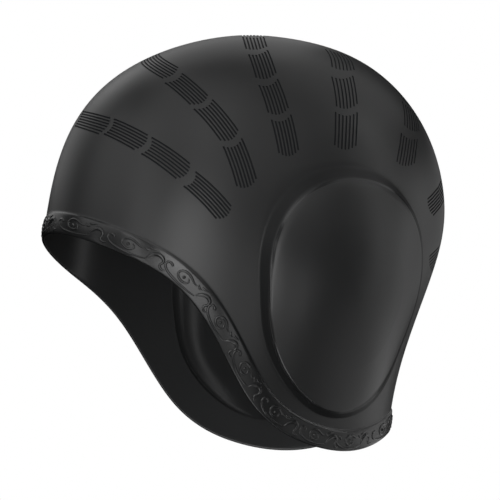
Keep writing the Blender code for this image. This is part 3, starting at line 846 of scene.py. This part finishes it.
def addSheenAndShade(mesh):  # keeps how much sheen each point has, lowered by the painted shade on the pocket's wall
    points = np.zeros(len(mesh.vertices) * 3)
    mesh.vertices.foreach_get("co", points)
    sheenAndShade = sheenAndShadeAt(points.reshape(-1, 3))
    inside = np.zeros(len(mesh.vertices), bool)
    innerLitFace = [face for face in mesh.polygons if face.material_index == finishSlots["innerLitFace"]]
    inside[[i for face in innerLitFace for i in face.vertices]] = True
    # inside the pocket the painted shade is weaker
    sheenAndShade = np.where(inside, 1 - (1 - sheenAndShade) * rubber["innerShadeShare"], sheenAndShade)
    mesh.attributes.new("sheenAndShade", "FLOAT", "POINT").data.foreach_set("value", sheenAndShade.astype(np.float32))


def rubberTouchGroup():  # moulded rubber: soft patches, a fine skin and a little dust
    group = bpy.data.node_groups.new("rubberTouch", "ShaderNodeTree")
    looks = (("Colour", "Color"), ("Roughness", "Float"), ("Sheen and shade", "Float"))
    for label, kind in looks + (("Patch", "Float"), ("Grain", "Float")):
        group.interface.new_socket(label, in_out="INPUT", socket_type="NodeSocket" + kind)
    for label, kind in looks + (("Height", "Float"),):
        group.interface.new_socket(label, in_out="OUTPUT", socket_type="NodeSocket" + kind)
    given = node(group, "NodeGroupInput").outputs
    place = node(group, "ShaderNodeTexCoord").outputs["Object"]
    patches, dust, skin = [
        shade(group, "TexNoise", {"Vector": place, **rubber[kind]})
        for kind in ("patches", "dust", "skin")
    ]
    swing = calc(group, "MULTIPLY", calc(group, "SUBTRACT", patches, 0.5), given["Patch"])
    fine = calc(group, "MULTIPLY", calc(group, "SUBTRACT", dust, 0.5), rubber["dustRoughness"])
    rough = calc(group, "ADD", calc(group, "ADD", given["Roughness"], swing), fine, clamp=True)
    lighter = calc(group, "ADD", calc(group, "MULTIPLY", dust, rubber["dustTone"]),
                   calc(group, "MULTIPLY", patches, rubber["patchTone"]))
    tone = calc(group, "ADD", lighter, rubber["baseTone"])
    colour = vectorCalc(group, "SCALE", given["Colour"], scale=tone)
    worn = calc(group, "SUBTRACT", 1.0, calc(group, "MULTIPLY", swing, rubber["patchWear"]))
    sheenAndShade = calc(group, "MULTIPLY", calc(group, "MULTIPLY", given["Sheen and shade"], worn),
                 calc(group, "SUBTRACT", 1.0, fine), clamp=True)
    height = calc(group, "MULTIPLY", skin, given["Grain"])
    node(group, "NodeGroupOutput", {"Colour": colour, "Roughness": rough, "Sheen and shade": sheenAndShade, "Height": height})
    return group


rubberTouch = rubberTouchGroup()


def emptyNodes(owner):  # the owner's node tree with nothing in it
    owner.use_nodes = True
    owner.node_tree.nodes.clear()
    return owner.node_tree


def rubberFinish(name, look):
    material = bpy.data.materials.new(name)
    tree = emptyNodes(material)
    # sheen kept at each point: lower on the pocket's wall, where it is painted shade
    kept = node(tree, "ShaderNodeAttribute", attribute_name="sheenAndShade").outputs["Fac"]
    touch = node(tree, "ShaderNodeGroup", node_tree=rubberTouch)
    for label, value in (("Colour", (*look["colour"], 1)), ("Roughness", look["roughness"]),
                         ("Patch", look["patch"]), ("Grain", look["grain"])):
        touch.inputs[label].default_value = value
    tree.links.new(calc(tree, "MULTIPLY", kept, look["sheenAndShade"]), touch.inputs["Sheen and shade"])
    bump = shade(tree, "Bump", {"Height": touch.outputs["Height"], "Strength": 1.0, "Distance": 1.0})
    shader = node(tree, "ShaderNodeBsdfPrincipled", {
        "Base Color": touch.outputs["Colour"], "Roughness": touch.outputs["Roughness"],
        "Coat Weight": touch.outputs["Sheen and shade"], "Coat Roughness": look["sheenRoughness"],
        "Coat IOR": rubber["sheenIor"], "Specular IOR Level": rubber["underShine"],
        "Normal": bump, "Coat Normal": bump})
    node(tree, "ShaderNodeOutputMaterial", {"Surface": shader.outputs[0]})
    return material


rubbers = {name: rubberFinish(name + "Rubber", look) for name, look in finishes.items()}
print("finishes ready")

# putting the cap together
shellMesh = makeShell()
for name, slot in finishSlots.items():
    shellMesh.materials[slot] = rubbers[name]
uncutShell = addObject("uncut_shell", shellMesh)
ribGuides = makeRibGuides()
cutMesh = runTree(ribGuides, ribTree(), {
    "Shell": uncutShell, "Lines": ribShape["lines"], "Line width": ribShape["lineWidth"],
    "Arc": ribShape["arc"], "Sink": ribShape["sink"], "Steps": ribShape["steps"],
    "Sides": ribShape["sides"], "Groove shade finish": rubbers["grooveShade"],
})
cutMesh.name = "cap_shell"
keepShading(cutMesh, shellMesh)
addSheenAndShade(cutMesh)
capShell = addObject("cap_shell", cutMesh)
triangles = sum(len(face.vertices) - 2 for face in cutMesh.polygons)
print(f"grooves cut: {len(cutMesh.polygons)} faces, {triangles} triangles")

scrollMotif, scrollSpots, bandStrip = makeScrollMotif(), makeScrollPlaces(), makeBandStrip()
scrollMesh = runTree(scrollSpots, scrollTree(), {
    "Motif": scrollMotif, "Band": bandStrip, "Hem length": 2 * hemRun[-1],
    "Band width": bandShape["width"], "Bead width": scrollShape["beadWidth"],
    "Bead height": scrollShape["beadHeight"], "Sink": scrollShape["sink"],
    "Sides": scrollShape["sides"], "Points": scrollShape["points"], "Scroll finish": rubbers["scroll"],
})
scrollMesh.name = "band_scrolls"
addSheenAndShade(scrollMesh)
bandScrolls = addObject("band_scrolls", scrollMesh)
print(f"scrolls laid: {len(scrollMesh.polygons)} faces")
for helper in (uncutShell, ribGuides, scrollMotif, scrollSpots, bandStrip):
    bpy.data.objects.remove(helper)

for piece in (capShell, bandScrolls):
    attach(piece, "root")
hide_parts("swim_cap")

# camera
cameraShape = {
    "turn": 72.93, "tilt": -6.13, "roll": -0.69,  # degrees; the turn starts at the forehead
    "distance": 1.0,
    "sideways": -0.00342,  # how far to the right of the crown it aims
    "aimZ": -0.11452,  # and at what height
    "lens": 133.2, "sensor": 36,  # millimetres
    "clip": (0.02, 30),
}


def seenFrom(turn, tilt):  # direction from the cap towards a camera or lamp
    turn, tilt = math.radians(turn), math.radians(tilt)
    return Vector((math.sin(turn) * math.cos(tilt), -math.cos(turn) * math.cos(tilt), math.sin(tilt)))


def addCamera():
    turn, roll = math.radians(cameraShape["turn"]), math.radians(cameraShape["roll"])
    back = seenFrom(cameraShape["turn"], cameraShape["tilt"])
    right = Vector((math.cos(turn), math.sin(turn), 0))
    up = back.cross(right)
    across = right * math.cos(roll) - up * math.sin(roll)
    upright = right * math.sin(roll) + up * math.cos(roll)
    aim = Vector((0, 0, cameraShape["aimZ"])) + right * cameraShape["sideways"]
    spot = aim + back * cameraShape["distance"]
    lens = bpy.data.cameras.new("photo_camera")
    lens.lens, lens.sensor_width = cameraShape["lens"], cameraShape["sensor"]
    lens.clip_start, lens.clip_end = cameraShape["clip"]
    camera = bpy.data.objects.new("photo_camera", lens)
    camera.matrix_world = Matrix((
        (across.x, upright.x, back.x, spot.x), (across.y, upright.y, back.y, spot.y),
        (across.z, upright.z, back.z, spot.z), (0, 0, 0, 1)))
    bpy.context.scene.collection.objects.link(camera)
    bpy.context.scene.camera = camera


addCamera()

# studio
studio = {
    "reach": 1.4,  # from the lamps to the middle of the cap
    "aim": (0.0, 0.0, -0.11),
    "floorZ": -0.2235,
    "floorSize": 6.0,
    "floorShade": 0.8,
    "roomLight": 0.0,  # what the room itself adds to the lamps
}

# Softboxes: turn and tilt in degrees seen from the cap, width and height in metres, and power in watts
softboxes = (
    ("backLow", -180, -32, 0.8, 0.8, 0.58),
    ("backHigh", -180, 56, 1.2, 1.2, 1.89),
    ("backRightLow", -150, -32, 0.8, 0.8, 1.23),
    ("backRight", -140, 8, 0.5, 0.5, 0.20),
    ("rightHigh", -90, 56, 1.2, 1.2, 2.52),
    ("faceRightHigh", -60, 30, 0.9, 0.9, 1.29),
    ("faceHigh", 0, 30, 0.9, 0.9, 1.93),
    ("faceLeft", 30, 5, 0.25, 1.4, 2.19),
    ("faceLeftHigh", 45, 56, 1.2, 1.2, 3.01),
    ("faceLeftLow", 50, -58, 0.7, 0.7, 2.9),
    ("faceLeftWide", 60, -8, 1.0, 0.5, 3.50),
    ("faceLeftTall", 60, -8, 0.5, 1.0, 1.64),
    ("faceLeftUpper", 60, 8, 0.5, 0.5, 2.01),
    ("leftLow", 90, -32, 0.8, 0.8, 0.81),
    ("leftHigh", 90, 38, 1.4, 1.0, 2.32),
    ("left", 100, -12, 0.5, 0.5, 0.78),
    ("backLeftLow", 150, -32, 0.8, 0.8, 0.62),
    ("backLeftHigh", 150, 30, 0.9, 0.9, 0.40),
    ("back", -180, -12, 0.5, 0.5, 0.5),
    ("backUpper", -180, 8, 0.5, 0.5, 0.7),
    ("backSide", -160, -12, 0.5, 0.5, 0.36),
    ("backSideUpper", -160, 8, 0.5, 0.5, 0.24),
    ("backRightTwin", -140, 8, 0.5, 0.5, 0.20),  # in the same place as backRight, and needed beside it
    ("floorStrip", 92, -74, 1.2, 0.06, 0.8),
    ("backLeftStrip", 158, 14, 0.08, 1.5, 1.4),
    ("faceStrip", 0, -15, 0.06, 1.2, 0.5),
)

# A small lamp inside, for the soft light line down the inner face
insideCard = {"place": (-0.058, 0.03, -0.115), "facing": (180, 0), "size": (0.012, 0.07), "power": 0.003}


def addSoftbox(name, turn, tilt, wide, high, power):
    away = seenFrom(turn, tilt)
    lamp = bpy.data.lights.new(name, "AREA")
    lamp.shape, lamp.size, lamp.size_y, lamp.energy = "RECTANGLE", wide, high, power
    box = bpy.data.objects.new(name, lamp)
    box.location = Vector(studio["aim"]) + away * studio["reach"]
    box.rotation_euler = away.to_track_quat("Z", "Y").to_euler()
    box.visible_camera = False
    bpy.context.scene.collection.objects.link(box)
    return box


def whiteFinish():  # plain white to the camera, whatever the lamps do
    material = bpy.data.materials.new("whiteFloor")
    tree = emptyNodes(material)
    seen = node(tree, "ShaderNodeLightPath").outputs["Is Camera Ray"]
    glow = shade(tree, "Emission", {"Color": (1, 1, 1, 1), "Strength": 1.0})
    grey = (*[studio["floorShade"]] * 3, 1)
    paint = shade(tree, "BsdfDiffuse", {"Color": grey})
    mix = shade(tree, "MixShader", {0: seen, 1: paint, 2: glow})
    node(tree, "ShaderNodeOutputMaterial", {"Surface": mix})
    return material


def addFloor():
    half = studio["floorSize"] / 2
    corners = ((-half, -half), (half, -half), (half, half), (-half, half))
    mesh = bpy.data.meshes.new("studio_floor")
    mesh.from_pydata([(x, y, studio["floorZ"]) for x, y in corners], [], [(0, 1, 2, 3)])
    mesh.materials.append(whiteFinish())
    floor = addObject("studio_floor", mesh)
    floor.visible_shadow = floor.visible_glossy = floor.visible_diffuse = False


def lightWorld():
    world = bpy.data.worlds.new("studioWorld")
    bpy.context.scene.world = world
    tree = emptyNodes(world)
    seen = node(tree, "ShaderNodeLightPath").outputs["Is Camera Ray"]
    dim = shade(tree, "Background", {0: (1, 1, 1, 1), 1: studio["roomLight"]})
    white = shade(tree, "Background", {0: (1, 1, 1, 1), 1: 1.0})
    mix = shade(tree, "MixShader", {0: seen, 1: dim, 2: white})
    node(tree, "ShaderNodeOutputWorld", {"Surface": mix})


for box in softboxes:
    addSoftbox(*box)
card = addSoftbox("insideCard", *insideCard["facing"], *insideCard["size"], insideCard["power"])
card.location = insideCard["place"]
addFloor()
lightWorld()
bpy.context.scene.view_settings.view_transform = "Standard"
bpy.context.view_layer.update()
print("camera, floor and lights set")
